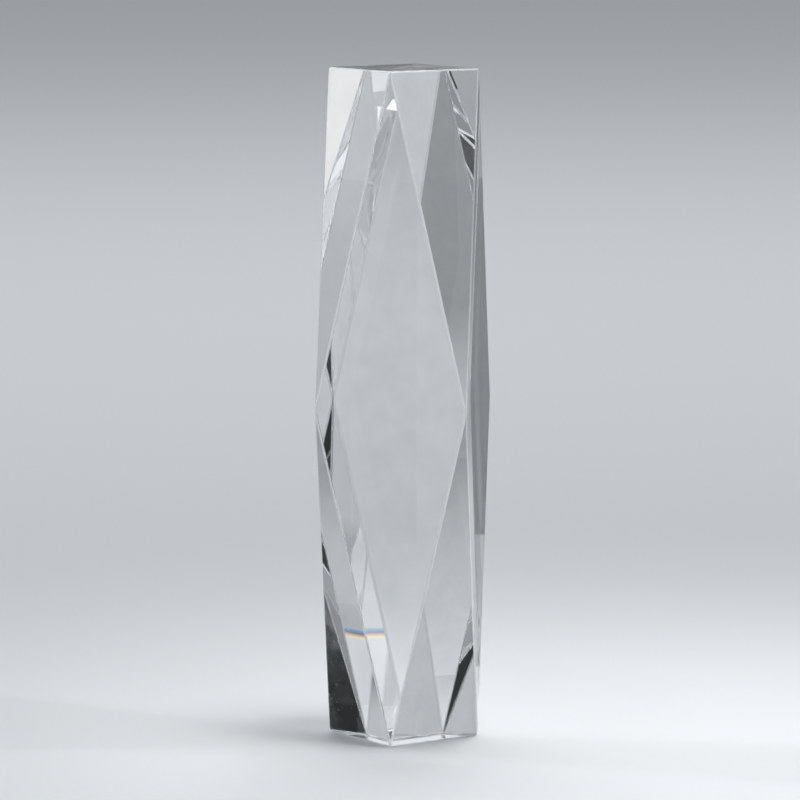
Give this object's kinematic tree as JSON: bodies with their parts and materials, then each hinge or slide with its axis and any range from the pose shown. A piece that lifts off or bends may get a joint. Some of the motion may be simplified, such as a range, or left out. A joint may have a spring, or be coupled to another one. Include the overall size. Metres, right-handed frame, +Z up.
{
  "type": "crystal award",
  "caption": "Tall faceted tower of clear optical crystal with diamond side faces and turned square ends, for engraving and display.",
  "frame": {"origin": "middle of the flat square base", "axes": "+Z up along the block's long axis; the four tall diamond faces look along -X, +X, -Y and +Y"},
  "size_m": [0.0566, 0.0566, 0.25],
  "materials": {
    "crystal": "water-clear optical glass, flat polished faces with narrow polished arrises"
  },
  "bodies": {
    "root": {"crystal_block": "crystal"}
  },
  "joints": []
}
